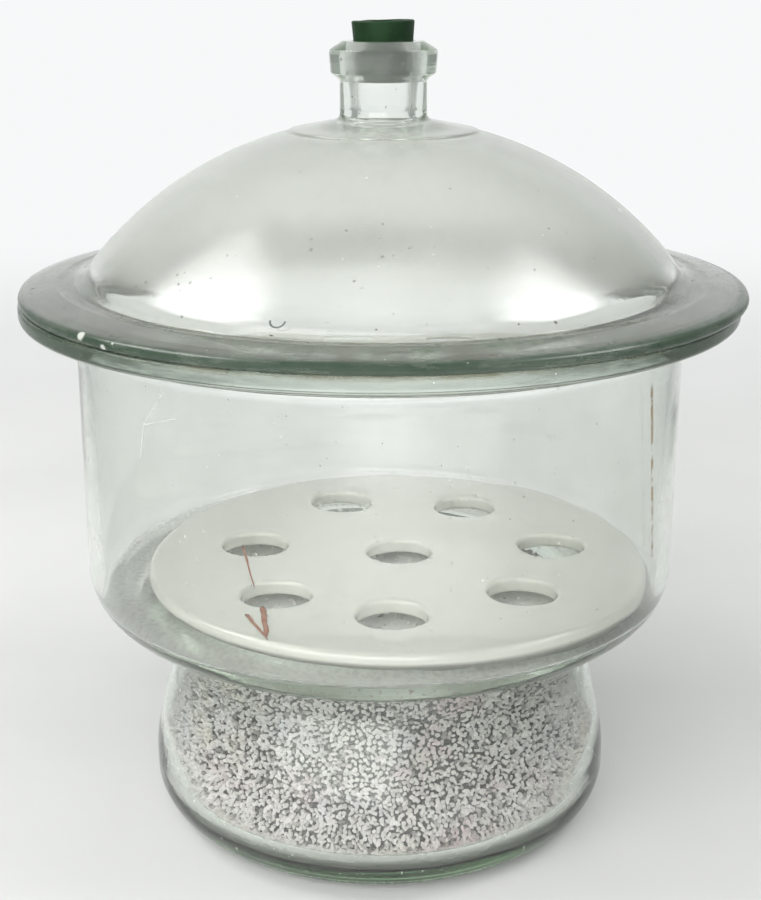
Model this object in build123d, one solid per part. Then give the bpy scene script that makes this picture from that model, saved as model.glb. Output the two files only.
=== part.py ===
from build123d import *
import math
import os

# A laboratory desiccator: a heavy pressed-glass base with a waisted foot, a domed
# glass lid that slides on a greased ground flange, a pierced porcelain plate on the
# base's inner ledge, a charge of drying granules in the foot, and a rubber stopper in
# the lid's neck.
# Millimetres, +Z up. The origin is the centre of the flat under the foot.

# ---- driving dimensions ----
flange_radius = 150.0        # outer radius of the lid's flange, which sets the whole size
seal_height = 231.0          # height of the ground face on the base's flange
base_flange_radius = 148.8
base_flange_depth = 7.0      # from the ground face to the flange's underside
wall_radius = 126.4          # outside of the upper chamber
wall_thickness = 5.6

ledge_height = 105.8         # the plate rests here
ledge_inner_radius = 84.0
ledge_corner = 3.5           # inside corner between the ledge and the wall
shoulder_radius = 22.3       # outside corner under the upper chamber

shoulder_bottom = 92.8       # underside of the upper chamber, where it turns down to the waist
shoulder_break = 104.0
waist_radius = 91.0          # outside of the narrowest part
waist_height = 84.0
waist_bore_radius = 77.5     # inside of the waist
foot_radius = 101.0          # widest part of the foot
foot_roll = 19.8             # rounding between the foot's side and its flat
foot_wall = 8.5              # glass thickness round the drum of the foot
floor_thickness = 9.0

lid_offset = 1.5             # the lid stands this far to +X of the base's axis
film_gap = 0.05              # clearance above and below the grease
film_thickness = 0.25
dome_radius = 156.3          # the dome is part of a sphere
dome_centre_height = 144.8
dome_thickness = 5.2
lid_flange_thickness = 6.7
crown_radius = 38.5          # the low round boss under the neck
neck_radius = 17.7
neck_bottom = 301.0
neck_top = 317.5
collar_radius = 21.9
collar_top = 331.7

bore_mouth_radius = 12.05    # the ground bore is widest at the mouth
bore_taper = 0.05            # radius lost for each millimetre of depth
bore_length = 28.0

stopper_clearance = 0.04
stopper_taper = 0.096
stopper_top = 340.0
stopper_depth = 12.2         # length of the stopper inside the bore

plate_radius = 109.8
plate_thickness = 6.5
plate_offset = (8.2, 3.3)    # the plate lies to the right and back on its ledge
plate_lift_gap = 0.25
hole_radius = 14.4
# centres of the hand-pierced holes about the plate's own centre
hole_centres = [
    (0.6, -0.3), (-26.2, 67.4), (33.7, 60.4), (69.3, 7.1), (50.6, -46.8), (-3.7, -70.6), (-50.9, -49.3), (-63.8, 9.3),
]

bed_gap = 0.3                # between the granules and the glass
bed_top = 99.5

# ---- worked out from them ----
film_bottom = seal_height + film_gap
lid_bottom = film_bottom + film_thickness + film_gap
lid_flange_top = lid_bottom + lid_flange_thickness
inner_wall_radius = wall_radius - wall_thickness
plate_bottom = ledge_height + plate_lift_gap


def corner_arc(before, corner, after, rounding):
    """Tangent points and middle of the arc that rounds one corner of an outline."""
    bx, bz = before[0] - corner[0], before[1] - corner[1]
    ax, az = after[0] - corner[0], after[1] - corner[1]
    b_len = math.hypot(bx, bz)
    a_len = math.hypot(ax, az)
    bx, bz, ax, az = bx / b_len, bz / b_len, ax / a_len, az / a_len
    half = math.acos(max(-1.0, min(1.0, bx * ax + bz * az))) / 2
    cut = rounding / math.tan(half)
    mx, mz = bx + ax, bz + az
    m_len = math.hypot(mx, mz)
    reach = rounding / math.sin(half) - rounding
    start = (corner[0] + bx * cut, corner[1] + bz * cut)
    middle = (corner[0] + mx / m_len * reach, corner[1] + mz / m_len * reach)
    end = (corner[0] + ax * cut, corner[1] + az * cut)
    return start, middle, end


def turned(corners):
    """Solid of revolution. Each corner is (radius, height) or (radius, height, rounding)."""
    edges = []
    joints = []
    count = len(corners)
    for i, corner in enumerate(corners):
        rounding = corner[2] if len(corner) > 2 else 0
        if rounding:
            joints.append(corner_arc(corners[i - 1], corner, corners[(i + 1) % count], rounding))
        else:
            joints.append((corner[:2], None, corner[:2]))
    for i, (start, middle, end) in enumerate(joints):
        if middle:
            edges.append(ThreePointArc(start, middle, end))
        following = joints[(i + 1) % count][0]
        if math.dist(end, following) > 1e-6:
            edges.append(Line(end, following))
    face = make_face(Plane.XZ * Curve(edges))
    return revolve(face, Axis.Z)


def base_inside(gap=0.0):
    """Inside corners of the foot, from the waist down to the axis, moved in by a gap."""
    return [
        (waist_bore_radius - gap, waist_height - 10, 26),
        (foot_radius - foot_wall - gap, waist_height - 50, 40),
        (foot_radius - foot_wall - gap, floor_thickness + gap, foot_roll - 5),
        (0, floor_thickness + gap),
    ]


def glass_base():
    outline = [
        (0, 0),
        (foot_radius, 0, foot_roll),
        (foot_radius, foot_roll + 11, 60),
        (waist_radius, waist_height - 9, 22),
        (waist_radius, waist_height + 1, 3),
        (shoulder_break, shoulder_bottom, 8),
        (wall_radius, shoulder_bottom + 6.5, shoulder_radius),
        (wall_radius, seal_height - base_flange_depth - 1.5, 9),
        (base_flange_radius, seal_height - base_flange_depth, 3),
        (base_flange_radius, seal_height, 1.6),
        (inner_wall_radius - 0.4, seal_height, 3),
        (inner_wall_radius, seal_height - 26, 60),
        (inner_wall_radius, ledge_height, ledge_corner),
        (ledge_inner_radius, ledge_height, 4),
        (waist_bore_radius, waist_height + 6, 14),
    ]
    return turned(outline + base_inside())


def desiccant_bed():
    flare_foot = waist_height + 6
    flare = (ledge_inner_radius - waist_bore_radius) / (ledge_height - flare_foot)
    outline = [
        (0, bed_top + 1.5),
        (waist_bore_radius + flare * (bed_top - flare_foot) - bed_gap, bed_top),
        (waist_bore_radius - bed_gap, flare_foot, 14),
    ]
    return turned(outline + base_inside(bed_gap))


def joint_grease():
    ring = Circle(base_flange_radius - 2.6) - Circle(inner_wall_radius + 5.4)
    return Pos(lid_offset / 2, 0, film_bottom) * extrude(ring, film_thickness)


def dome_height(radius, sphere_radius):
    """Height of the dome's surface at a distance from its axis."""
    return dome_centre_height + math.sqrt(sphere_radius ** 2 - radius ** 2)


def bore_radius(height):
    """Radius of the neck's tapered ground bore."""
    return bore_mouth_radius - bore_taper * (collar_top - height)


def glass_lid():
    inner_sphere = dome_radius - dome_thickness
    dome_foot = 121.0
    inner_foot = 122.0
    bore_end = collar_top - bore_length
    outside = Curve([
        Line((bore_radius(bore_end), bore_end), (bore_mouth_radius, collar_top)),
        Line((bore_mouth_radius, collar_top), (16.4, collar_top)),
        Line((16.4, collar_top), (collar_radius - 0.4, collar_top - 3.2)),
        Line((collar_radius - 0.4, collar_top - 3.2), (collar_radius, collar_top - 4.6)),
        Line((collar_radius, collar_top - 4.6), (collar_radius - 0.5, neck_top + 2.4)),
        ThreePointArc((collar_radius - 0.5, neck_top + 2.4), (collar_radius - 1.4, neck_top + 0.9),
                      (neck_radius + 1.6, neck_top)),
        ThreePointArc((neck_radius + 1.6, neck_top), (neck_radius + 0.4, neck_top - 0.6),
                      (neck_radius, neck_top - 1.8)),
        Line((neck_radius, neck_top - 1.8), (neck_radius, neck_bottom + 2.5)),
        ThreePointArc((neck_radius, neck_bottom + 2.5), (neck_radius + 0.75, neck_bottom + 0.7),
                      (neck_radius + 2.6, neck_bottom)),
        Line((neck_radius + 2.6, neck_bottom), (crown_radius, dome_height(crown_radius, dome_radius) + 0.6)),
        Line((crown_radius, dome_height(crown_radius, dome_radius) + 0.6),
             (crown_radius + 0.3, dome_height(crown_radius + 0.3, dome_radius))),
        ThreePointArc((crown_radius + 0.3, dome_height(crown_radius + 0.3, dome_radius)),
                      (86, dome_height(86, dome_radius)),
                      (dome_foot, dome_height(dome_foot, dome_radius))),
        ThreePointArc((dome_foot, dome_height(dome_foot, dome_radius)),
                      (126.4, lid_flange_top + 1.9), (134, lid_flange_top)),
        Line((134, lid_flange_top), (flange_radius - 6.5, lid_flange_top - 1.5)),
        ThreePointArc((flange_radius - 6.5, lid_flange_top - 1.5), (flange_radius - 1.9, lid_flange_top - 2.9),
                      (flange_radius, lid_bottom + 2.2)),
        ThreePointArc((flange_radius, lid_bottom + 2.2), (flange_radius - 0.5, lid_bottom + 0.7),
                      (flange_radius - 1.8, lid_bottom)),
    ])
    inside = Curve([
        Line((flange_radius - 1.8, lid_bottom), (inner_foot + 3.4, lid_bottom)),
        ThreePointArc((inner_foot + 3.4, lid_bottom), (inner_foot + 1.1, lid_bottom + 0.8),
                      (inner_foot, dome_height(inner_foot, inner_sphere))),
        ThreePointArc((inner_foot, dome_height(inner_foot, inner_sphere)),
                      (70, dome_height(70, inner_sphere)),
                      (24, dome_height(24, inner_sphere))),
        ThreePointArc((24, dome_height(24, inner_sphere)), (14.5, bore_end - 5.5),
                      (bore_radius(bore_end), bore_end)),
    ])
    face = make_face(Plane.XZ * (outside + inside))
    return Pos(lid_offset, 0, 0) * revolve(face, Axis.Z)


def rubber_stopper():
    mouth = bore_mouth_radius - stopper_clearance
    top_radius = mouth + stopper_taper * (stopper_top - collar_top)
    foot = mouth - stopper_taper * stopper_depth
    outline = [
        (0, collar_top - stopper_depth),
        (foot, collar_top - stopper_depth, 0.8),
        (top_radius, stopper_top, 0.6),
        (0, stopper_top),
    ]
    return Pos(lid_offset, 0, 0) * turned(outline)


def porcelain_plate():
    disc = turned([
        (0, 0),
        (plate_radius, 0, 2.6),
        (plate_radius, plate_thickness, 2.6),
        (0, plate_thickness),
    ])
    lip = 1.6
    punch = turned([
        (0, -1),
        (hole_radius + lip, -1),
        (hole_radius + lip, 0),
        (hole_radius, lip),
        (hole_radius, plate_thickness - lip),
        (hole_radius + lip, plate_thickness),
        (hole_radius + lip, plate_thickness + 1),
        (0, plate_thickness + 1),
    ])
    for x, y in hole_centres:
        disc -= Pos(x, y, 0) * punch
    return Pos(plate_offset[0], plate_offset[1], plate_bottom) * disc


os.makedirs("parts", exist_ok=True)
for make in (glass_base, desiccant_bed, porcelain_plate, joint_grease, glass_lid, rubber_stopper):
    export_step(make(), f"parts/{make.__name__}.step")
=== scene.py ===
import math

import bmesh
import bpy
from mathutils import Matrix, Vector, noise
from mathutils.geometry import delaunay_2d_cdt


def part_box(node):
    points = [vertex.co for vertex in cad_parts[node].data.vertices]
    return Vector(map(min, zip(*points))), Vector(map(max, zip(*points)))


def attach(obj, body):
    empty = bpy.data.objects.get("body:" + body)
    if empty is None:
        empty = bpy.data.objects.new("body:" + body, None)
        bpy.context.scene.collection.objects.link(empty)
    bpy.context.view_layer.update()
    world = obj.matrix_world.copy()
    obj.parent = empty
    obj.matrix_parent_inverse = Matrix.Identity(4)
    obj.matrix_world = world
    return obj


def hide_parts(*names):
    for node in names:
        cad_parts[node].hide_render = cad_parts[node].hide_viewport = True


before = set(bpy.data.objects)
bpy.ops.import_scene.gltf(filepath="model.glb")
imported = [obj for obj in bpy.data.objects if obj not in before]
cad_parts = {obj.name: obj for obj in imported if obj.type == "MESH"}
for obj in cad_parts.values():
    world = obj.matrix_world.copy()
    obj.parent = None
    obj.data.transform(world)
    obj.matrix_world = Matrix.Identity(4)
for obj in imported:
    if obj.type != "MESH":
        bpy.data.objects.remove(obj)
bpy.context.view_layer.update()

mm = 0.001

# heights and radii that the CAD nodes give, in millimetres
baseLow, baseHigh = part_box("glass_base")
lidLow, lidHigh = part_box("glass_lid")
plateLow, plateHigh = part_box("porcelain_plate")
filmLow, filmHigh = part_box("joint_grease")
stopperLow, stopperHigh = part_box("rubber_stopper")
bedLow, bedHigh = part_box("desiccant_bed")
sealHeight = baseHigh.z / mm
baseFlangeRadius = baseHigh.x / mm
lidBottom = lidLow.z / mm
collarTop = lidHigh.z / mm
lidRadius = (lidHigh.x - lidLow.x) / 2 / mm
lidShift = (lidHigh.x + lidLow.x) / 2 / mm
plateCentre = (plateHigh + plateLow) / 2
plateRadius = (plateHigh.x - plateLow.x) / 2


# node sheets: shader and geometry maths

class Wire:
    # one output socket; arithmetic on it adds Math nodes
    def __init__(self, sheet, socket):
        self.sheet = sheet
        self.socket = socket

    def out(self, name):
        return Wire(self.sheet, self.socket.node.outputs[name])

    def maths(self, operation, first, second):
        return self.sheet.add("ShaderNodeMath", {"operation": operation}, {0: first, 1: second})

    def __add__(self, other):
        return self.maths("ADD", self, other)

    def __radd__(self, other):
        return self.maths("ADD", other, self)

    def __sub__(self, other):
        return self.maths("SUBTRACT", self, other)

    def __rsub__(self, other):
        return self.maths("SUBTRACT", other, self)

    def __mul__(self, other):
        return self.maths("MULTIPLY", self, other)

    def __rmul__(self, other):
        return self.maths("MULTIPLY", other, self)

    def __truediv__(self, other):
        return self.maths("DIVIDE", self, other)

    def __rtruediv__(self, other):
        return self.maths("DIVIDE", other, self)

    def __lt__(self, other):
        return self.maths("LESS_THAN", self, other)

    def __gt__(self, other):
        return self.maths("GREATER_THAN", self, other)

    def size(self):
        return self.maths("ABSOLUTE", self, 0.0)

    def larger(self, other):
        return self.maths("MAXIMUM", self, other)


class Sheet:
    # a node tree being filled in
    def __init__(self, tree):
        self.tree = tree

    def add(self, kind, settings=None, sockets=None, output=0):
        node = self.tree.nodes.new(kind)
        for name, value in (settings or {}).items():
            if name == "stops":
                self.setStops(node.color_ramp, value)
            else:
                setattr(node, name, value)
        for name, value in (sockets or {}).items():
            if isinstance(value, Wire):
                self.tree.links.new(value.socket, node.inputs[name])
            else:
                node.inputs[name].default_value = value
        return Wire(self, node.outputs[output]) if node.outputs else node

    def setStops(self, ramp, stops):
        while len(ramp.elements) < len(stops):
            ramp.elements.new(0.5)
        for element, (place, colour) in zip(ramp.elements, stops):
            element.position = place
            element.color = (*colour, 1)

    # 0 at low, 1 at high, with soft ends
    def rise(self, value, low, high):
        return self.add("ShaderNodeMapRange", {"interpolation_type": "SMOOTHSTEP"},
                        {"Value": value, "From Min": low, "From Max": high})

    def mixColour(self, share, first, second, blend="MIX"):
        return self.add("ShaderNodeMix", {"data_type": "RGBA", "blend_type": blend},
                        {0: share, 6: first, 7: second}, 2)

    def vector(self, operation, first, second, output=0):
        return self.add("ShaderNodeVectorMath", {"operation": operation}, {0: first, 1: second}, output)

    def grain(self, place, size, detail=2.0, rough=0.5, seed=0.0):
        return self.add("ShaderNodeTexNoise", {"noise_dimensions": "4D"}, {
            "Vector": place, "W": seed, "Scale": 1 / size, "Detail": detail, "Roughness": rough})


def rgb(*values):
    return (*values, 1.0)


class Finish(Sheet):
    # a material with one Principled shader, read in Object coordinates
    def __init__(self, name, values):
        self.material = bpy.data.materials.new(name)
        self.material.use_nodes = True
        super().__init__(self.material.node_tree)
        self.tree.nodes.clear()
        self.place = self.add("ShaderNodeTexCoord", output="Object")
        self.shader = self.add("ShaderNodeBsdfPrincipled", None, values)
        self.surface = self.shader
        self.end = self.add("ShaderNodeOutputMaterial")
        self.tree.links.new(self.shader.socket, self.end.inputs["Surface"])

    def feed(self, name, value):
        self.tree.links.new(value.socket, self.shader.socket.node.inputs[name])

    def axes(self):
        split = self.add("ShaderNodeSeparateXYZ", None, {0: self.place})
        return split, split.out("Y"), split.out("Z")

    # distance from an upright axis through centre
    def reach(self, centre=(0, 0, 0)):
        flat = self.vector("MULTIPLY", self.vector("SUBTRACT", self.place, centre), (1, 1, 0))
        return self.vector("LENGTH", flat, (0, 0, 0), "Value")

    # 1 within a soft shell about level
    def near(self, value, level, hard, soft):
        return 1 - self.rise((value - level).size(), hard, soft)

    def height(self):
        return self.add("ShaderNodeSeparateXYZ", None, {0: self.place}, 2)

    def distanceTo(self, point):
        return self.vector("DISTANCE", self.place, tuple(c * mm for c in point), "Value")

    # 1 inside a ball, soft at its edge
    def spot(self, centre, radius, soft=0.5):
        return 1 - self.rise(self.distanceTo(centre), radius * mm * (1 - soft), radius * mm)

    # 1 along the straight line from start to end
    def stroke(self, start, end, width):
        a, b = Vector(start) * mm, Vector(end) * mm
        along = (b - a).normalized()
        fromStart = self.vector("SUBTRACT", self.place, tuple(a))
        across = self.vector("CROSS_PRODUCT", fromStart, tuple(along))
        gap = self.vector("LENGTH", across, (0, 0, 0), "Value")
        run = self.vector("DOT_PRODUCT", fromStart, tuple(along), "Value")
        length = (b - a).length
        inside = self.rise(run, -width * mm, 0.0) * (1 - self.rise(run, length, length + width * mm))
        return (1 - self.rise(gap, width * mm * 0.4, width * mm)) * inside

    def bump(self, height, depth, strength=1.0):
        return self.add("ShaderNodeBump", None, {"Height": height, "Distance": depth, "Strength": strength})

    # lays a matt layer over what is there, where share is 1
    def lay(self, share, colour, roughness=0.9):
        layer = self.add("ShaderNodeBsdfPrincipled", None, {"Base Color": colour, "Roughness": roughness})
        self.surface = self.add("ShaderNodeMixShader", None, {0: share, 1: self.surface, 2: layer})
        self.tree.links.new(self.surface.socket, self.end.inputs["Surface"])


# outlines

def roundCorner(before, corner, after, rounding, step):
    b = Vector((before[0] - corner[0], before[1] - corner[1])).normalized()
    a = Vector((after[0] - corner[0], after[1] - corner[1])).normalized()
    half = math.acos(max(-1, min(1, b.dot(a)))) / 2
    middle = Vector(corner[:2]) + (a + b).normalized() * (rounding / math.sin(half))
    start = Vector(corner[:2]) + b * (rounding / math.tan(half)) - middle
    turn = math.pi - 2 * half
    if b.x * a.y - b.y * a.x > 0:
        turn = -turn
    count = max(4, int(abs(turn) * rounding / step))
    points = []
    for i in range(count + 1):
        angle = turn * i / count
        x = start.x * math.cos(angle) - start.y * math.sin(angle)
        y = start.x * math.sin(angle) + start.y * math.cos(angle)
        points.append((middle.x + x, middle.y + y))
    return points


# polyline of an outline whose corners are (radius, height) or (radius, height, rounding)
def outline(corners, step=1.2, longest=5.0, closed=False):
    points = []
    count = len(corners)
    for i, corner in enumerate(corners):
        rounding = corner[2] if len(corner) > 2 else 0
        if rounding:
            points += roundCorner(corners[i - 1], corner, corners[(i + 1) % count], rounding,
                                  min(step, rounding * 0.3))
        else:
            points.append(tuple(corner[:2]))
    if closed:
        points.append(points[0])
    filled = [points[0]]
    for point in points[1:]:
        last = filled[-1]
        gap = math.dist(last, point)
        if gap < 1e-4:
            continue
        parts = math.ceil(gap / longest)
        filled += [(last[0] + (point[0] - last[0]) * k / parts, last[1] + (point[1] - last[1]) * k / parts)
                   for k in range(1, parts + 1)]
    return filled


# turning: one Geometry Nodes tree spins an outline about the axis

def addInputs(tree, wanted):
    for name, kind, default in wanted:
        socket = tree.interface.new_socket(name, in_out="INPUT", socket_type=kind)
        if default is not None:
            socket.default_value = default
    tree.interface.new_socket("Geometry", in_out="OUTPUT", socket_type="NodeSocketGeometry")


def endTree(sheet, geometry, material):
    whole = sheet.add("GeometryNodeRealizeInstances", None, {"Geometry": geometry})
    dressed = sheet.add("GeometryNodeSetMaterial", None, {"Geometry": whole, "Material": material})
    sheet.add("NodeGroupOutput", None, {"Geometry": dressed})


def turningTree():
    tree = bpy.data.node_groups.new("turning", "GeometryNodeTree")
    addInputs(tree, [("Geometry", "NodeSocketGeometry", None), ("Segments", "NodeSocketInt", 256),
                     ("Axis Radius", "NodeSocketFloat", 0.4), ("Ripple", "NodeSocketFloat", 0.0),
                     ("Ripple Size", "NodeSocketFloat", 0.03), ("Seed", "NodeSocketFloat", 0.0),
                     ("Finish", "NodeSocketMaterial", None)])
    sheet = Sheet(tree)
    given = sheet.add("NodeGroupInput")
    profile = sheet.add("GeometryNodeMeshToCurve", None, {"Mesh": given.out("Geometry")})
    circle = sheet.add("GeometryNodeCurvePrimitiveCircle", None,
                       {"Resolution": given.out("Segments"), "Radius": given.out("Axis Radius")})
    spun = sheet.add("GeometryNodeCurveToMesh", None, {"Curve": circle, "Profile Curve": profile})
    joined = sheet.add("GeometryNodeMergeByDistance", None, {"Geometry": spun, "Distance": 2e-6})
    place = sheet.add("GeometryNodeInputPosition")
    flat = sheet.vector("MULTIPLY", place, (1, 1, 0))
    reach = sheet.vector("LENGTH", flat, (0, 0, 0), "Value")
    wave = sheet.add("ShaderNodeTexNoise", {"noise_dimensions": "4D"},
                     {"Vector": place, "W": given.out("Seed") + reach * 160,
                      "Scale": 1 / given.out("Ripple Size"), "Detail": 1.0})
    depth = wave * given.out("Ripple") * sheet.rise(reach, 0.026, 0.04) * -1
    outward = sheet.vector("NORMALIZE", flat, (0, 0, 0))
    shift = sheet.add("ShaderNodeVectorMath", {"operation": "SCALE"}, {0: outward, "Scale": depth})
    moved = sheet.add("GeometryNodeSetPosition", None, {"Geometry": joined, "Offset": shift})
    endTree(sheet, moved, given.out("Finish"))
    return tree


def setInputs(modifier, values):
    named = {item.name: item.identifier for item in modifier.node_group.interface.items_tree
             if item.item_type == "SOCKET" and item.in_out == "INPUT"}
    for name, value in values.items():
        modifier[named[name]] = value


# replaces an object's live tree with the plain mesh that it makes
def settle(piece):
    graph = bpy.context.evaluated_depsgraph_get()
    made = bpy.data.meshes.new_from_object(piece.evaluated_get(graph))
    piece.modifiers.clear()
    piece.data = made
    return piece


def faceOutwards(mesh, smooth=True):
    work = bmesh.new()
    work.from_mesh(mesh)
    bmesh.ops.remove_doubles(work, verts=work.verts, dist=1e-7)
    bmesh.ops.recalc_face_normals(work, faces=work.faces)
    if work.calc_volume(signed=True) < 0:
        bmesh.ops.reverse_faces(work, faces=work.faces)
    for face in work.faces:
        face.smooth = smooth
    work.to_mesh(mesh)
    work.free()


def addObject(name, mesh):
    piece = bpy.data.objects.new(name, mesh)
    bpy.context.scene.collection.objects.link(piece)
    return piece


def runTree(name, mesh, tree, values):
    piece = addObject(name, mesh)
    modifier = piece.modifiers.new("shape", "NODES")
    modifier.node_group = tree
    setInputs(modifier, values)
    return settle(piece)


axisRadius = 0.4
turning = turningTree()


def turn(name, points, material, segments=256, ripple=0.0, rippleSize=0.03, seed=0.0, shift=0.0):
    closed = points[0] == points[-1]
    points = points[:-1] if closed else points
    mesh = bpy.data.meshes.new(name)
    spots = [(r * mm - axisRadius, -z * mm, 0) for r, z in points]
    edges = [(i, i + 1) for i in range(len(spots) - 1)]
    if closed:
        edges.append((len(spots) - 1, 0))
    mesh.from_pydata(spots, edges, [])
    piece = runTree(name, mesh, turning, {
        "Segments": segments, "Axis Radius": axisRadius, "Ripple": ripple, "Ripple Size": rippleSize,
        "Seed": seed, "Finish": material})
    faceOutwards(piece.data)
    piece.data.transform(Matrix.Translation((shift * mm, 0, 0)))
    return piece


# glass

glassLook = {
    "tint": rgb(0.994, 0.998, 0.993),
    "ior": 1.5,
    "absorbColour": rgb(0.26, 0.54, 0.23),
    "absorbDensity": 8.0,
    "groundRoughness": 0.26,
    "groundPaintedShade": rgb(0.045, 0.07, 0.045),
    "groundShadeShare": 0.22,
    "rimPaintedShade": rgb(0.018, 0.040, 0.022),
    "rimRoughness": 0.25,
    "grimeRoughness": 0.35,
    "waveSize": 0.05,
    "pitSize": 0.0022,
    "pitShare": 0.02,
    "bumpDepth": 0.0012,
    "bumpStrength": 0.35,
    "film": 0.05,
    "filmColour": rgb(0.72, 0.735, 0.69),
}


def addGlassVolume(finish):
    absorb = finish.add("ShaderNodeVolumeAbsorption", None,
                        {"Color": glassLook["absorbColour"], "Density": glassLook["absorbDensity"]})
    finish.tree.links.new(absorb.socket, finish.end.inputs["Volume"])


def glassFinish(name):
    return Finish(name, {"Base Color": glassLook["tint"], "Roughness": 0.0, "IOR": glassLook["ior"],
                         "Transmission Weight": 1.0})


# painted shade: a dark green matt layer on the thick outer edges, less so at the front and back when
# centreShare is low
def rimShadeShare(finish, low, high, radius, share, centreShare):
    x, _, z = finish.axes()
    reach = finish.reach()
    streaks = finish.grain(finish.vector("MULTIPLY", finish.place, (1, 1, 7)), 0.02, 4, 0.6, 13.0)
    edge = finish.rise(reach, (radius - 4.5) * mm, (radius - 1.0) * mm)
    level = finish.rise(z, (low - 0.6) * mm, low * mm) * (1 - finish.rise(z, high * mm, (high + 0.6) * mm))
    aside = centreShare + (1 - centreShare) * finish.rise(x.size(), 0.02, 0.10)
    return edge * level * share * aside * (0.7 + 0.6 * finish.rise(streaks, 0.35, 0.65))


# wiped dust and tiny specks that lie on the glass
def dustShare(finish):
    cloud = finish.grain(finish.place, 0.035, 4, 0.6, 3.0)
    speck = finish.grain(finish.place, 0.0016, 0, 0.5, 9.0)
    return glassLook["film"] * finish.rise(cloud, 0.25, 0.75) + 0.5 * finish.rise(speck, 0.83, 0.86)


# grime that has crept into the joint from outside
def jointGrime(finish, height, soft, low, high, seed):
    blotch = finish.rise(finish.grain(finish.place, 0.012, 5, 0.65, seed), low, high)
    return finish.near(finish.height(), height, 0.0005, soft) * blotch


def groundFace(finish, height):
    return finish.near(finish.height(), height, 0.0001, 0.0004)


# slow waves and fine pits of old pressed glass
def glassWaves(finish, waveSeed, pitSeed):
    wave = finish.grain(finish.place, glassLook["waveSize"], 1, 0.4, waveSeed)
    pits = finish.rise(finish.grain(finish.place, glassLook["pitSize"], 1, 0.5, pitSeed), 0.66, 0.74)
    return wave + pits * glassLook["pitShare"]


def glassBump(finish, height):
    finish.feed("Normal", finish.bump(height, glassLook["bumpDepth"], glassLook["bumpStrength"]))


baseLook = {
    "footRadius": 101,
    "wallRadius": 126.4,
    "boreRadius": 120.8,
    "waistRadius": 77.5,
    "ledgeHeight": 105.8,
    "floorHeight": 9,
    "rimShadeShare": 0.66,
    "rimShadeFrontShare": 0.2,
    "rimDepth": 5.5,
    "streak": ((102.9, -73.4, 208), (108.2, -65.4, 136)),
    "streakWidth": 1.5,
    "scratch": [(-82.4, -95.8, 214.6), (-80.1, -97.8, 211.4), (-88.3, -90.5, 197.9), (-90.3, -88.4, 183.7)],
    "scratchBranch": (-75.1, -101.6, 203.4),
    "scratchWidth": 0.35,
    "ripple": 0.00022,
    "rippleSize": 0.032,
    "segments": 320,
    "streakColour": rgb(0.30, 0.22, 0.13),
    "grimeColour": rgb(0.52, 0.47, 0.34),
    "ledgeDustAndLight": rgb(0.93, 0.93, 0.91),
    "ledgeDustAndLightShare": 0.42,
    "underShadeShare": 0.7,
}


def baseGlass():
    finish = glassFinish("baseGlass")
    z = finish.height()
    reach = finish.reach()
    seal = sealHeight * mm
    ground = groundFace(finish, seal)
    grime = jointGrime(finish, seal, 0.0024, 0.35, 0.62, 5.0)
    finish.feed("Roughness", ground * glassLook["groundRoughness"] + grime * glassLook["grimeRoughness"])
    streak = finish.stroke(*baseLook["streak"], baseLook["streakWidth"])
    streak = streak * finish.rise(finish.grain(finish.place, 0.006, 3, 0.6, 2.0), 0.35, 0.6)
    stained = finish.mixColour(grime, glassLook["tint"], baseLook["grimeColour"])
    finish.feed("Base Color", finish.mixColour(streak, stained, baseLook["streakColour"]))
    scratch = None
    marks = baseLook["scratch"]
    for start, end in list(zip(marks, marks[1:])) + [(marks[2], baseLook["scratchBranch"])]:
        line = finish.stroke(start, end, baseLook["scratchWidth"])
        scratch = line if scratch is None else scratch.larger(line)
    glassBump(finish, glassWaves(finish, 7.0, 1.0) - scratch * glassLook["pitShare"])
    # painted shade: a dark green matt layer on the ground face of the joint
    finish.lay(ground * glassLook["groundShadeShare"], glassLook["groundPaintedShade"])
    # painted shade on the flange's thick outer edge
    rim = rimShadeShare(finish, sealHeight - baseLook["rimDepth"], sealHeight, baseFlangeRadius,
                   baseLook["rimShadeShare"], baseLook["rimShadeFrontShare"])
    finish.lay(rim, glassLook["rimPaintedShade"], glassLook["rimRoughness"])
    finish.lay(0.75 * streak, baseLook["streakColour"])
    # fine dust of the granules on the ledge, and painted light: the pale layer also stands in for the
    # bright band seen there through the shoulder
    ledge = finish.near(z, baseLook["ledgeHeight"] * mm, 0.0006, 0.0022)
    ledge = ledge * finish.rise(reach, 0.083, 0.087) * (1 - finish.rise(reach, 0.1205, 0.1215))
    grains = 0.75 + 0.25 * finish.rise(finish.grain(finish.place, 0.0022, 2, 0.6, 31.0), 0.35, 0.6)
    finish.lay(ledge * grains * baseLook["ledgeDustAndLightShare"], baseLook["ledgeDustAndLight"])
    # painted shade: the turn under the shoulder is painted dark green like the rims
    under = finish.rise(reach, 0.104, 0.109) * (1 - finish.rise(z, 0.0968, 0.0985))
    finish.lay(under * baseLook["underShadeShare"], glassLook["rimPaintedShade"], glassLook["rimRoughness"])
    finish.lay(dustShare(finish) + 0.35 * scratch, glassLook["filmColour"])
    addGlassVolume(finish)
    return finish.material


# the inside of the foot, from the waist down to the axis
def footInside(gap=0.0):
    side = 92.5 - gap
    floor = baseLook["floorHeight"] + gap
    return [(baseLook["waistRadius"] - gap, 74, 26), (side, 34, 40), (side, floor, 14.8), (0, floor)]


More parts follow.
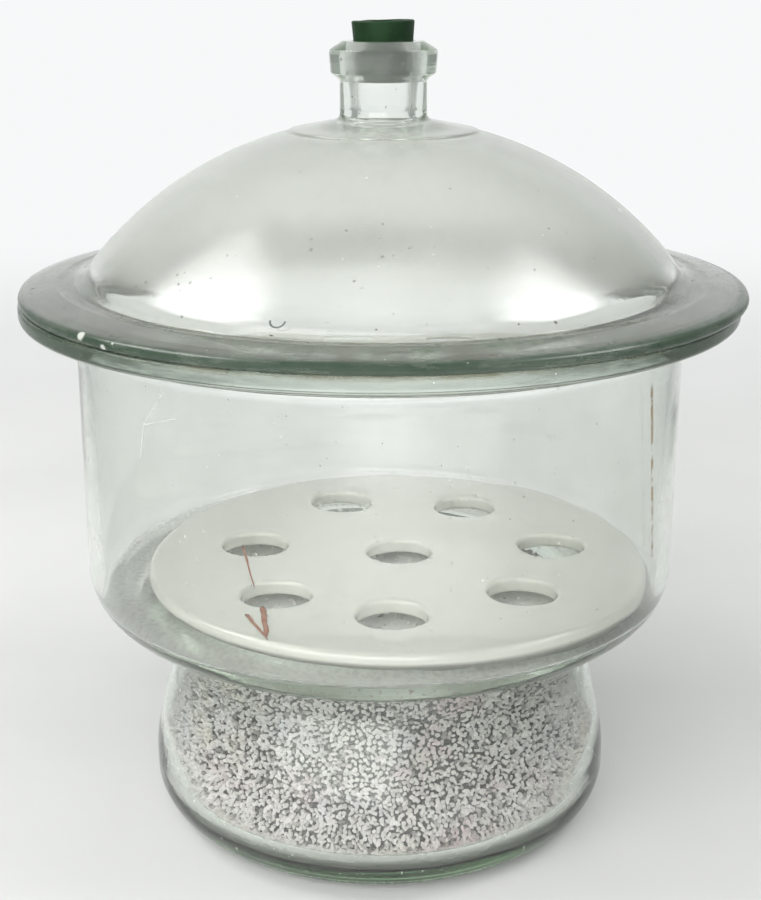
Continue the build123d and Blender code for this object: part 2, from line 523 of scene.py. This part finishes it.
def makeBase():
    foot, wall, bore = baseLook["footRadius"], baseLook["wallRadius"], baseLook["boreRadius"]
    ledge = baseLook["ledgeHeight"]
    corners = [
        (0, 0), (foot, 0, 19.8), (foot, 30.8, 60), (91, 75, 22), (91, 85, 3), (104, 92.8, 8),
        (wall, 99.3, 22.3), (wall, sealHeight - 8.5, 9), (baseFlangeRadius, sealHeight - 7, 3),
        (baseFlangeRadius, sealHeight, 1.6), (bore - 0.4, sealHeight, 3), (bore, sealHeight - 26, 60),
        (bore, ledge, 3.5), (84, ledge, 4), (baseLook["waistRadius"], 90, 14)]
    piece = turn("visualBase", outline(corners + footInside()), baseGlass(), baseLook["segments"],
                 baseLook["ripple"], baseLook["rippleSize"], 1.0)
    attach(piece, "base")
    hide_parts("glass_base")
    return piece


lidLook = {
    "ripple": 0.00018,
    "rippleSize": 0.045,
    "segments": 320,
    "boreRadius": 12.05,
    "boreDepth": 28,
    "boreTaper": 0.05,       # fall of the radius for each millimetre down
    "rimShadeShare": 0.95,
    "rimDepth": 4.6,
    "chips": [((-107.3, -102.5, 234.8), 2.4), ((91.4, -118.2, 232.5), 1.3), ((83.7, -9.7, 277.4), 1.6),
              ((95.9, -23.2, 267.2), 1.6), ((-98.2, -112.3, 232.2), 1.8)],
    "crescent": (-36.4, -116.3, 242.1),
    "dull": 0.19,
    "haze": 0.14,
    "frost": rgb(0.50, 0.52, 0.49),
    "grimeColour": rgb(0.50, 0.44, 0.30),
}


def lidGlass():
    finish = glassFinish("lidGlass")
    z = finish.height()
    bottom = lidBottom * mm
    ground = groundFace(finish, bottom)
    # the neck's bore is ground matt where the stopper seats
    bore = (finish.reach((lidShift * mm, 0, 0)) < 0.0128) * finish.rise(z, 0.3165, 0.3172)
    grime = jointGrime(finish, bottom, 0.0022, 0.38, 0.64, 6.0)
    # the dome is a little dull from years of wiping
    dome = finish.rise(z, 0.240, 0.250) * (1 - finish.rise(z, 0.296, 0.302))
    haze = dome * (0.6 + finish.grain(finish.place, 0.05, 3, 0.6, 11.0) * 0.8)
    rough = (ground + bore) * glassLook["groundRoughness"] + grime * glassLook["grimeRoughness"]
    finish.feed("Roughness", rough + haze * lidLook["dull"])
    finish.feed("Base Color", finish.mixColour(grime, glassLook["tint"], lidLook["grimeColour"]))
    frosted = finish.grain(finish.place, 0.0007, 2, 0.6, 2.0)
    glassBump(finish, glassWaves(finish, 8.0, 4.0) + bore * frosted * 0.4)
    chips = finish.spot(*lidLook["chips"][0])
    for place, radius in lidLook["chips"][1:]:
        chips = chips.larger(finish.spot(place, radius))
    centre = lidLook["crescent"]
    ring = finish.distanceTo((centre[0], centre[1], centre[2] + 1.2))
    crescent = finish.near(ring, 0.0029, 0.0002, 0.00045) * (z < (centre[2] + 0.6) * mm)
    # painted shade: a dark green matt layer on the ground face of the joint
    finish.lay(ground * glassLook["groundShadeShare"], glassLook["groundPaintedShade"])
    # painted shade on the flange's thick outer edge
    rim = rimShadeShare(finish, lidBottom, lidBottom + lidLook["rimDepth"], lidRadius, lidLook["rimShadeShare"], 1.0)
    finish.lay(rim, glassLook["rimPaintedShade"], glassLook["rimRoughness"])
    finish.lay(0.9 * crescent, rgb(0.05, 0.06, 0.06))
    finish.lay(bore * frosted * 0.4, lidLook["frost"])
    pepper = finish.rise(finish.grain(finish.place, 0.0024, 0, 0.5, 21.0), 0.80, 0.84)
    finish.lay(0.8 * pepper, rgb(0.06, 0.06, 0.05))
    finish.lay(dustShare(finish) + 0.6 * chips + haze * lidLook["haze"], glassLook["filmColour"])
    addGlassVolume(finish)
    return finish.material


sphere = {"radius": 156.3, "height": 144.8, "thickness": 5.2}


def domeArc(radius, start, end, step=3.0):
    a, b = math.asin(start / radius), math.asin(end / radius)
    count = max(3, int(abs(b - a) * radius / step))
    angles = [a + (b - a) * i / count for i in range(count + 1)]
    return [(radius * math.sin(angle), sphere["height"] + radius * math.cos(angle)) for angle in angles]


def makeLid():
    top = collarTop
    flangeTop = lidBottom + 6.7
    inner = sphere["radius"] - sphere["thickness"]
    crown = domeArc(sphere["radius"], 38.5, 38.8)[0]
    bore = lidLook["boreRadius"]
    boreEnd = (bore - lidLook["boreTaper"] * lidLook["boreDepth"], top - lidLook["boreDepth"])
    neck = outline([
        boreEnd, (bore, top, 0.5), (16.4, top, 0.6), (21.5, top - 3.2, 0.6), (21.9, top - 4.8, 1.2),
        (21.3, 319.2, 1.6), (19.0, 317.6, 1.2), (17.7, 316.4, 1.0), (17.7, 301.2, 2.6),
        (crown[0], crown[1] + 0.6, 0.35), (crown[0] + 0.35, crown[1] - 0.15)], 0.6, 3.0)[1:]
    foot = outline([
        domeArc(sphere["radius"], 119, 120.5)[0], (125.8, flangeTop - 0.4, 14), (134.5, flangeTop, 6),
        (lidRadius - 6.5, flangeTop - 1.4, 5), (lidRadius - 0.6, flangeTop - 2.8, 2.4),
        (lidRadius, lidBottom + 1.6, 1.4), (lidRadius - 0.7, lidBottom, 0.9), (125.6, lidBottom, 0.8),
        domeArc(inner, 122, 121)[0]], 0.9, 3.0)
    inside = domeArc(inner, 121, 24)
    throat = outline([inside[-1], (13.5, 294.0, 9), boreEnd], 0.8, 3.0)[1:]
    points = neck + domeArc(sphere["radius"], crown[0] + 1, 118.5) + foot + inside + throat
    points.append(points[0])
    piece = turn("visualLid", points, lidGlass(), lidLook["segments"], lidLook["ripple"],
                 lidLook["rippleSize"], 4.0, lidShift)
    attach(piece, "lid")
    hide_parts("glass_lid")
    return piece


base = makeBase()
lid = makeLid()
print("glass: base", len(base.data.polygons), "faces, lid", len(lid.data.polygons), "faces")


# the greased joint

greaseLook = {
    "colour": rgb(0.42, 0.36, 0.24),
    "darkColour": rgb(0.16, 0.11, 0.06),
    "innerRadius": 126.3,
    "rounding": 0.08,
}


def greaseFinish():
    finish = Finish("jointGrease", {"Roughness": 0.35, "Transmission Weight": 0.5, "IOR": 1.42})
    patch = finish.rise(finish.grain(finish.place, 0.011, 4, 0.6, 1.0), 0.3, 0.7)
    finish.feed("Base Color", finish.mixColour(patch, greaseLook["colour"], greaseLook["darkColour"]))
    finish.feed("Normal", finish.bump(finish.grain(finish.place, 0.001, 3, 0.6), 0.0002, 0.6))
    return finish.material


def makeGrease():
    low, high = filmLow.z / mm, filmHigh.z / mm
    outer, inner = (filmHigh.x - filmLow.x) / 2 / mm, greaseLook["innerRadius"]
    corners = [(inner, low), (outer, low), (outer, high), (inner, high)]
    corners = [(*corner, greaseLook["rounding"]) for corner in corners]
    piece = turn("visualGrease", outline(corners, 0.05, 3.0, True), greaseFinish(), 256, 0.0008, 0.004, 2.0,
                 (filmHigh.x + filmLow.x) / 2 / mm)
    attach(piece, "film")
    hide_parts("joint_grease")
    return piece


grease = makeGrease()
print("grease film done")


# porcelain plate

plateLook = {
    "holeRadius": 14.4,
    # hand-pierced holes about the plate's own centre, in millimetres
    "holes": [(0.6, -0.3), (-26.2, 67.4), (33.7, 60.4), (69.3, 7.1), (50.6, -46.8), (-3.7, -70.6),
              (-50.9, -49.3), (-63.8, 9.3)],
    "edgeRounding": 2.6,
    "holeRounding": 1.9,
    "sag": 0.12,
    "glaze": rgb(0.84, 0.84, 0.775),
    "thinGlaze": rgb(0.86, 0.86, 0.81),
    "dirt": rgb(0.33, 0.27, 0.19),
    "seatShade": rgb(0.12, 0.12, 0.10),
    "seatShadeShare": 0.85,
    "rimPoints": 216,
    "holePoints": 72,
}


# rings that run down an edge, from the top face's rim to the underside's
def edgeRings(work, centre, radius, rounding, thickness, count, inwards, seed):
    rings = []
    steps = 6
    angles = [math.pi / 2 * i / steps for i in range(steps + 1)]
    path = [(1 - math.sin(angle), 1 - math.cos(angle)) for angle in angles]
    depths = [(a * rounding, b * rounding) for a, b in path]
    depths += [(a * rounding, thickness - b * rounding) for a, b in reversed(path)]
    for back, down in depths:
        ring = []
        for k in range(count):
            angle = math.tau * k / count
            spot = Vector((math.cos(angle), math.sin(angle)))
            wobble = noise.noise(Vector((spot.x * 0.8, spot.y * 0.8, seed))) * 0.5
            reach = radius + (back if inwards else -back) + (wobble if inwards else -abs(wobble) * 0.3)
            at = centre + spot * reach
            ring.append(work.verts.new((at.x, at.y, thickness - down)))
        rings.append(ring)
    for upper, lower in zip(rings, rings[1:]):
        for k in range(count):
            n = (k + 1) % count
            work.faces.new((upper[k], upper[n], lower[n], lower[k]))
    return rings


# fills a face of the plate between its rim and the holes' rims
def fillFace(work, loops, holes, spacing=7.0):
    points, edges, owners, rings = [], [], [], []
    for number, loop in enumerate(loops):
        first = len(points)
        points += [Vector((v.co.x, v.co.y)) for v in loop]
        owners += loop
        rings += [number] * len(loop)
        edges += [(first + k, first + (k + 1) % len(loop)) for k in range(len(loop))]
    rim = plateRadius / mm - plateLook["edgeRounding"] - 3
    steps = int(rim / spacing)
    level = loops[0][0].co.z
    for i in range(-steps, steps + 1):
        for j in range(-steps, steps + 1):
            spot = Vector(((i + (j % 2) * 0.5) * spacing, j * spacing * 0.9))
            clear = all((spot - hole).length > plateLook["holeRadius"] + 4.5 for hole in holes)
            if spot.length < rim - 1 and clear:
                points.append(spot)
                rings.append(0)
                owners.append(work.verts.new((spot.x, spot.y, level)))
    placed, _, faces, origins, _, _ = delaunay_2d_cdt(points, edges, [], 0, 1e-5)
    for face in faces:
        corners = [origins[k][0] for k in face]
        inHole = rings[corners[0]] > 0 and len({rings[k] for k in corners}) == 1
        if not inHole:
            work.faces.new([owners[k] for k in corners])


def porcelainFinish():
    finish = Finish("porcelainGlaze", {"IOR": 1.52, "Coat Weight": 0.6, "Coat Roughness": 0.05})
    cloud = finish.grain(finish.place, 0.06, 3, 0.55, 1.0)
    colour = finish.mixColour(finish.rise(cloud, 0.3, 0.7), plateLook["glaze"], plateLook["thinGlaze"])
    smear = finish.rise(finish.grain(finish.place, 0.02, 5, 0.7, 4.0), 0.58, 0.8) * 0.22
    speck = finish.rise(finish.grain(finish.place, 0.0016, 0, 0.5, 6.0), 0.82, 0.86) * 0.7
    # painted shade: the foot of the edge is darkened where the plate sits on the ledge
    reach = finish.reach((plateCentre.x, plateCentre.y, 0))
    edge = finish.rise(reach, plateRadius - 0.0036, plateRadius - 0.0012)
    foot = 1 - finish.rise(finish.height(), plateLow.z + 0.0014, plateLow.z + 0.0034)
    seatShade = edge * foot * plateLook["seatShadeShare"]
    colour = finish.mixColour(seatShade, colour, plateLook["seatShade"])
    finish.feed("Base Color", finish.mixColour(smear.larger(speck), colour, plateLook["dirt"]))
    finish.feed("Roughness", 0.12 + smear * 1.2)
    finish.feed("Normal", finish.bump(finish.grain(finish.place, 0.012, 2, 0.5, 2.0), 0.0008, 0.25))
    return finish.material


def makePlate():
    thickness = (plateHigh.z - plateLow.z) / mm
    holes = [Vector(hole) for hole in plateLook["holes"]]
    work = bmesh.new()
    rim = edgeRings(work, Vector((0, 0)), plateRadius / mm, plateLook["edgeRounding"], thickness,
                    plateLook["rimPoints"], False, 0.5)
    edges = [edgeRings(work, hole, plateLook["holeRadius"], plateLook["holeRounding"], thickness,
                       plateLook["holePoints"], True, 3.0 + i) for i, hole in enumerate(holes)]
    for level in (0, -1):
        fillFace(work, [rim[level]] + [rings[level] for rings in edges], holes)
    mesh = bpy.data.meshes.new("visualPlate")
    work.to_mesh(mesh)
    work.free()
    faceOutwards(mesh)
    for v in mesh.vertices:
        lift = noise.noise(Vector((v.co.x, v.co.y, 0)) / 45) * plateLook["sag"]
        v.co.z += min(0, lift) if v.co.z > thickness / 2 else max(0, lift)
    mesh.transform(Matrix.Translation((plateCentre.x, plateCentre.y, plateLow.z)) @ Matrix.Scale(mm, 4))
    mesh.materials.append(porcelainFinish())
    piece = addObject("visualPlate", mesh)
    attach(piece, "plate")
    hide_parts("porcelain_plate")
    return piece


plate = makePlate()
print("plate:", len(plate.data.polygons), "faces")


# drying granules

granuleLook = {
    "size": 0.00130,         # half the width of a chip
    "spacing": 0.00132,
    "density": 900000.0,     # tries per square metre
    "dark": rgb(0.34, 0.31, 0.31),
    "middle": rgb(0.86, 0.81, 0.82),
    "light": rgb(0.98, 0.935, 0.95),
    "pink": rgb(0.94, 0.77, 0.84),
    "yellow": rgb(0.95, 0.91, 0.78),
    "blue": rgb(0.82, 0.86, 0.94),
    "gap": 1.25,             # between the glass and the middle of the outer chips, in millimetres
    "inset": 1.1,            # depth of the dark core behind them
    "core": rgb(0.14, 0.13, 0.13),
    "coreTop": rgb(0.95, 0.955, 0.95),
}


def granuleFinish():
    finish = Finish("dryingGranules", {"Roughness": 0.85})
    tone = finish.add("ShaderNodeAttribute", {"attribute_name": "chipTone"}, output="Fac")
    colour = finish.add("ShaderNodeValToRGB", {"stops": [
        (0.0, granuleLook["dark"][:3]), (0.2, granuleLook["middle"][:3]), (1.0, granuleLook["light"][:3])]},
        {"Fac": tone})
    for name, seed, share in (("pink", 1.0, 0.75), ("yellow", 5.0, 0.5), ("blue", 9.0, 0.45)):
        patch = finish.rise(finish.grain(finish.place, 0.028, 3, 0.6, seed), 0.52, 0.72) * share
        colour = finish.mixColour(patch, colour, granuleLook[name], "MULTIPLY")
    finish.feed("Base Color", colour)
    finish.feed("Normal", finish.bump(finish.grain(finish.place, 0.0006, 3, 0.7), 0.0002, 0.7))
    return finish.material


def coreFinish():
    finish = Finish("granuleShadow", {"Roughness": 1.0})
    patch = finish.rise(finish.grain(finish.place, 0.001, 3, 0.7, 1.0), 0.5, 0.75)
    # painted shade: the dark core stands in for the shade in the gaps between the chips; only its top is
    # pale
    colour = finish.mixColour(patch * 0.6, granuleLook["core"], granuleLook["middle"])
    top = finish.rise(finish.height(), 0.0955, 0.0970)
    finish.feed("Base Color", finish.mixColour(top, colour, granuleLook["coreTop"]))
    return finish.material


# scatters crushed chips over a surface
def chipTree():
    tree = bpy.data.node_groups.new("chips", "GeometryNodeTree")
    addInputs(tree, [("Geometry", "NodeSocketGeometry", None), ("Spacing", "NodeSocketFloat", 0.00125),
                     ("Density", "NodeSocketFloat", 500000.0), ("Size", "NodeSocketFloat", 0.0008),
                     ("Seed", "NodeSocketInt", 1), ("Finish", "NodeSocketMaterial", None)])
    sheet = Sheet(tree)
    given = sheet.add("NodeGroupInput")
    spots = sheet.add("GeometryNodeDistributePointsOnFaces", {"distribute_method": "POISSON"}, {
        "Mesh": given.out("Geometry"), "Distance Min": given.out("Spacing"),
        "Density Max": given.out("Density"), "Seed": given.out("Seed")})
    shapes = sheet.tree.nodes.new("GeometryNodeGeometryToInstance")
    for seed in range(5):
        ball = sheet.add("GeometryNodeMeshIcoSphere", None, {"Radius": 1.0, "Subdivisions": 1})
        place = sheet.add("GeometryNodeInputPosition")
        bend = sheet.add("ShaderNodeTexNoise", {"noise_dimensions": "4D"},
                         {"Vector": place, "W": seed * 3.7, "Scale": 0.9, "Detail": 1.0}, "Color")
        shift = sheet.vector("MULTIPLY", sheet.vector("SUBTRACT", bend, (0.5, 0.5, 0.5)), (2.4, 2.4, 1.8))
        bent = sheet.add("GeometryNodeSetPosition", None, {"Geometry": ball, "Offset": shift})
        chip = sheet.add("GeometryNodeSetShadeSmooth", None, {0: bent, 2: False})
        tree.links.new(chip.socket, shapes.inputs["Geometry"])
    pick = sheet.add("FunctionNodeRandomValue", {"data_type": "INT"}, {4: 0, 5: 4, "Seed": 3}, 2)
    turnBy = sheet.add("FunctionNodeRandomValue", {"data_type": "FLOAT_VECTOR"},
                       {0: (0, 0, 0), 1: (math.tau, math.tau, math.tau), "Seed": 5}, 0)
    stretch = sheet.add("FunctionNodeRandomValue", {"data_type": "FLOAT_VECTOR"},
                        {0: (0.6, 0.55, 0.5), 1: (1.25, 1.0, 0.9), "Seed": 7}, 0)
    scale = sheet.add("ShaderNodeVectorMath", {"operation": "SCALE"},
                      {0: stretch, "Scale": given.out("Size")})
    placed = sheet.add("GeometryNodeInstanceOnPoints", None, {
        "Points": spots, "Instance": Wire(sheet, shapes.outputs[0]), "Pick Instance": True,
        "Instance Index": pick, "Rotation": turnBy, "Scale": scale})
    tone = sheet.add("FunctionNodeRandomValue", {"data_type": "FLOAT"}, {2: 0.0, 3: 1.0, "Seed": 11}, 1)
    toned = sheet.add("GeometryNodeStoreNamedAttribute", {"data_type": "FLOAT", "domain": "INSTANCE"},
                      {"Geometry": placed, "Name": "chipTone", "Value": tone})
    endTree(sheet, toned, given.out("Finish"))
    return tree


def makeBed():
    finish = granuleFinish()
    gap = granuleLook["gap"]
    waist = baseLook["waistRadius"] - gap
    top = bedHigh.z / mm - 1.6
    brim = waist + 6.5 / 15.8 * (top - 90)
    side = outline([(brim, top), (waist, 90, 14), *footInside(gap)], 1.5, 4.0)
    lower = [p for p in side if p[1] <= 42]
    upper = [p for p in side if p[1] >= 42] + [lower[0]]
    floor = [p for p in lower if p[0] < 74]
    lower = [p for p in lower if p[0] >= 74] + [floor[0]]
    crown = outline([(0, top + 0.9), (45, top + 0.6), (brim, top)], 1.5, 4.0)
    chips = chipTree()
    pieces = []
    bands = [("granulesUpper", upper, 1.0), ("granulesLower", lower, 1.0), ("granulesTop", crown, 2.6),
             ("granulesFloor", floor, 1.0)]
    for seed, (name, points, coarse) in enumerate(bands):
        surface = turn(name + "Skin", points, finish, 120)
        piece = runTree(name, surface.data, chips, {
            "Spacing": granuleLook["spacing"] * coarse, "Density": granuleLook["density"] / coarse ** 2,
            "Size": granuleLook["size"] * min(coarse, 1), "Seed": seed + 1, "Finish": finish})
        bpy.data.objects.remove(surface)
        pieces.append(piece)
        print(name, len(piece.data.polygons), "faces")
    inset = granuleLook["inset"]
    core = outline([(0, top + 1.3), (70, top + 0.9), (78, top + 0.2), (brim - inset, top - inset),
                    (waist - inset, 90, 14), *footInside(gap + inset)], 1.5, 6.0)
    pieces.append(turn("granuleCore", core, coreFinish(), 96))
    for piece in pieces:
        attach(piece, "base")
        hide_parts("desiccant_bed")
    return pieces


bed = makeBed()


# rubber stopper

stopperLook = {
    "colour": rgb(0.005, 0.022, 0.006),
    "wornColour": rgb(0.012, 0.038, 0.014),
    "dust": rgb(0.05, 0.08, 0.05),
    "tilt": 1.3,             # degrees
    "mouthRadius": 12.01,
    "taper": 0.096,
}


def rubberFinish():
    finish = Finish("greenRubber", {"Roughness": 0.5, "IOR": 1.5, "Specular IOR Level": 0.2})
    patch = finish.rise(finish.grain(finish.place, 0.009, 4, 0.6, 2.0), 0.35, 0.7)
    colour = finish.mixColour(patch, stopperLook["colour"], stopperLook["wornColour"])
    dust = finish.rise(finish.grain(finish.place, 0.0025, 3, 0.7, 5.0), 0.55, 0.8) * 0.3
    finish.feed("Base Color", finish.mixColour(dust, colour, stopperLook["dust"]))
    finish.feed("Roughness", 0.42 + patch * 0.2 + dust)
    finish.feed("Normal", finish.bump(finish.grain(finish.place, 0.0009, 3, 0.6), 0.00012, 0.6))
    return finish.material


def makeStopper():
    low, high = stopperLow.z / mm, stopperHigh.z / mm - 0.3
    mouth, taper = stopperLook["mouthRadius"], stopperLook["taper"]
    topRadius = mouth + taper * (stopperHigh.z / mm - collarTop)
    foot = mouth - taper * (collarTop - low)
    corners = [(0, low), (foot, low, 0.9), (topRadius - 0.02, high, 0.7), (9.2, high - 0.15, 0.8),
               (8.2, high - 0.9, 0.8), (0, high - 1.0)]
    piece = turn("visualStopper", outline(corners, 0.4, 1.5), rubberFinish(), 128, shift=lidShift)
    middle = Vector((lidShift * mm, 0, collarTop * mm))
    for v in piece.data.vertices:
        wave = noise.noise(v.co / 0.009) * 0.00016
        outward = Vector((v.co.x - middle.x, v.co.y, 0))
        if outward.length > 0.004:
            v.co += outward.normalized() * min(0.0, wave)
        v.co.z -= abs(noise.noise(v.co / 0.007)) * 0.0005 * max(0.0, min(1.0, (v.co.z / mm - high + 3) / 3))
    lean = Matrix.Translation(middle) @ Matrix.Rotation(math.radians(-stopperLook["tilt"]), 4, "Y")
    piece.data.transform(lean @ Matrix.Translation(-middle))
    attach(piece, "stopper")
    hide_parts("rubber_stopper")
    return piece


stopper = makeStopper()
print("stopper done")


# stray slivers on the plate

sliverLook = {
    "colour": rgb(0.36, 0.10, 0.05),
    "lighter": rgb(0.55, 0.27, 0.16),
    "end": rgb(0.035, 0.02, 0.015),
    "parts": 26,
    "sides": 8,
    # start, end, half width at the start and at the end, in millimetres
    "slivers": [((-61.3, 10.9), (-52.6, -39.8), 0.75, 0.22), ((-53.7, -67.2), (-43.0, -91.6), 0.9, 0.45),
                ((-47.8, -60.1), (-43.6, -88.7), 1.4, 1.1)],
}


def sliverFinish():
    finish = Finish("redBrownSliver", {"Roughness": 0.6})
    along = finish.add("ShaderNodeAttribute", {"attribute_name": "along"}, output="Fac")
    ends = (1 - finish.rise(along, 0.0, 0.14)).larger(finish.rise(along, 0.93, 1.0))
    streaks = finish.grain(finish.place, 0.0012, 4, 0.7, 2.0)
    lighter = finish.mixColour(finish.rise(streaks, 0.35, 0.7), sliverLook["colour"], sliverLook["lighter"])
    finish.feed("Base Color", finish.mixColour(ends, lighter, sliverLook["end"]))
    finish.feed("Normal", finish.bump(streaks, 0.0003, 0.8))
    return finish.material


def makeSlivers():
    material = sliverFinish()
    top = plateHigh.z / mm
    for number, (start, end, wide, narrow) in enumerate(sliverLook["slivers"]):
        a, b = Vector((*start, 0)), Vector((*end, 0))
        across = (b - a).normalized().cross(Vector((0, 0, 1)))
        work = bmesh.new()
        mark = work.verts.layers.float.new("along")
        rings = []
        parts, sides = sliverLook["parts"], sliverLook["sides"]
        for i in range(parts + 1):
            t = i / parts
            swell = (wide + (narrow - wide) * t) * (0.85 + 0.3 * noise.noise(Vector((t * 9, number, 0))))
            swell *= min(1.0, 0.35 + t * 9, 0.3 + (1 - t) * 9)
            centre = a.lerp(b, t) + across * (noise.noise(Vector((t * 2.5, number + 7, 0))) * 1.1)
            ring = []
            for k in range(sides):
                angle = math.tau * k / sides
                rise = swell * 0.55 * (1 + math.sin(angle))
                spot = centre + across * (math.cos(angle) * swell) + Vector((0, 0, top + 0.02 + rise))
                vert = work.verts.new(spot * mm)
                vert[mark] = t
                ring.append(vert)
            rings.append(ring)
        for first, second in zip(rings, rings[1:]):
            for k in range(sides):
                n = (k + 1) % sides
                work.faces.new((first[k], first[n], second[n], second[k]))
        work.faces.new(rings[0])
        work.faces.new(rings[-1])
        mesh = bpy.data.meshes.new("sliver")
        work.to_mesh(mesh)
        work.free()
        faceOutwards(mesh)
        mesh.materials.append(material)
        piece = addObject(f"straySliver{number + 1}", mesh)
        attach(piece, "plate")


makeSlivers()
print("slivers done")


# stage, light and camera

stageLook = {
    "floor": rgb(0.66, 0.665, 0.66),
    "floorWorn": rgb(0.61, 0.615, 0.61),
    "near": rgb(0.96, 0.965, 0.96),
    "sides": rgb(0.38, 0.39, 0.385),
    "far": rgb(0.93, 0.94, 0.945),
    "sky": rgb(0.30, 0.32, 0.31),
    "ceiling": rgb(0.62, 0.63, 0.62),
    "front": rgb(0.85, 0.86, 0.85),
}


# a pale table with painted light and shade: paler near the front, a glow that grows brighter to the back,
# and painted shade well off to the sides
def makeStage():
    finish = Finish("paleTable", {"Roughness": 0.55, "Specular IOR Level": 0.2})
    x, y, _ = finish.axes()
    cloud = finish.rise(finish.grain(finish.place, 0.25, 4, 0.6, 1.0), 0.3, 0.8)
    aside = finish.rise(x.size() - 0.26 * (y + 0.7).size(), 0.06, 0.34)
    away = finish.vector("LENGTH", finish.place, (0, 0, 0), "Value")
    aside = aside * (1 - finish.rise(away, 0.7, 2.0))
    pale = finish.mixColour(cloud, stageLook["floor"], stageLook["floorWorn"])
    # painted light: paler floor near the front
    pale = finish.mixColour(1 - finish.rise(y, -0.24, -0.07), pale, stageLook["near"])
    # painted shade: darker floor well off to the sides
    finish.feed("Base Color", finish.mixColour(aside, pale, stageLook["sides"]))
    glow = finish.add("ShaderNodeEmission", None, {"Color": stageLook["far"]})
    back = finish.rise(y, 0.30, 1.5) * (1 - finish.rise(x.size() - 0.4 * y, 0.1, 0.8))
    lit = finish.add("ShaderNodeMixShader", None, {0: back, 1: finish.shader, 2: glow})
    finish.tree.links.new(lit.socket, finish.end.inputs["Surface"])
    mesh = bpy.data.meshes.new("floor")
    work = bmesh.new()
    bmesh.ops.create_circle(work, cap_ends=True, radius=40, segments=64)
    work.to_mesh(mesh)
    work.free()
    mesh.materials.append(finish.material)
    floor = addObject("floor", mesh)
    floor.location.z = -0.0002


def makeWorld():
    world = bpy.data.worlds.new("studio")
    world.use_nodes = True
    sheet = Sheet(world.node_tree)
    world.node_tree.nodes.clear()
    way = sheet.add("ShaderNodeTexCoord", output="Generated")
    x = sheet.add("ShaderNodeSeparateXYZ", None, {0: way})
    y, z = x.out("Y"), x.out("Z")
    backWall = sheet.rise(y - 1.2 * x.size(), -0.2, 0.3) * (1 - sheet.rise(z, 0.3, 0.75))
    sky = sheet.mixColour(sheet.rise(z, 0.55, 0.95), stageLook["sky"], stageLook["ceiling"])
    front = sheet.rise(y * -1, 0.1, 0.8) * (1 - sheet.rise(z, 0.45, 0.8))
    sky = sheet.mixColour(front, sky, stageLook["front"])
    sky = sheet.mixColour(backWall, sky, stageLook["far"])
    light = sheet.add("ShaderNodeBackground", None, {"Color": sky, "Strength": 1.0})
    sheet.add("ShaderNodeOutputWorld", None, {"Surface": light})
    bpy.context.scene.world = world


# soft glowing panels; a mirrored one shows in the glass as a highlight
panels = [
    {"name": "leftWindow", "place": (-1.09, 0.04, 1.42), "target": (0, 0, 0.25), "width": 1.25,
     "height": 1.1, "glow": 7.0, "mirrored": True},
    {"name": "rightWindow", "place": (1.09, -0.10, 1.42), "target": (0, 0, 0.25), "width": 1.05,
     "height": 1.0, "glow": 6.5, "mirrored": True},
    {"name": "frontFill", "place": (-0.75, -1.8, 1.25), "target": (0, 0, 0.1), "width": 4.2,
     "height": 2.2, "glow": 4.9, "mirrored": False},
]


def addSoftbox(name, place, target, width, height, glow, mirrored):
    finish = Finish(name, {})
    x, y, _ = finish.axes()
    fade = 1 - finish.rise(x.size(), width * 0.2, width * 0.5)
    fade = fade * (1 - finish.rise(y.size(), height * 0.2, height * 0.5))
    light = finish.add("ShaderNodeEmission", None,
                       {"Color": rgb(1.0, 0.995, 0.985), "Strength": fade * glow})
    finish.tree.links.new(light.socket, finish.end.inputs["Surface"])
    mesh = bpy.data.meshes.new(name)
    w, h = width / 2, height / 2
    mesh.from_pydata([(-w, -h, 0), (w, -h, 0), (w, h, 0), (-w, h, 0)], [], [(0, 1, 2, 3)])
    mesh.materials.append(finish.material)
    panel = addObject(name, mesh)
    panel.location = place
    panel.rotation_euler = (Vector(target) - Vector(place)).to_track_quat("-Z", "Y").to_euler()
    panel.visible_camera = False
    panel.visible_glossy = mirrored


cameraLook = {
    "place": (-0.0049, -0.642, 0.3591),
    "tiltDown": 17.24,       # degrees
    "turn": -0.47,
    "lens": 62.0,
}


def makeCamera():
    lens = bpy.data.cameras.new("camera")
    lens.lens = cameraLook["lens"]
    lens.sensor_width = 36.0
    lens.clip_start = 0.01
    lens.clip_end = 60
    view = bpy.data.objects.new("camera", lens)
    view.location = cameraLook["place"]
    view.rotation_euler = (math.radians(90 - cameraLook["tiltDown"]), 0, math.radians(cameraLook["turn"]))
    bpy.context.scene.collection.objects.link(view)
    bpy.context.scene.camera = view


makeStage()
makeWorld()
for panel in panels:
    addSoftbox(**panel)
makeCamera()

scene = bpy.context.scene
scene.view_settings.view_transform = "Standard"
scene.cycles.max_bounces = 24
scene.cycles.transmission_bounces = 24
scene.cycles.glossy_bounces = 8
scene.cycles.diffuse_bounces = 8
scene.cycles.transparent_max_bounces = 16
print("stage, light and camera done")
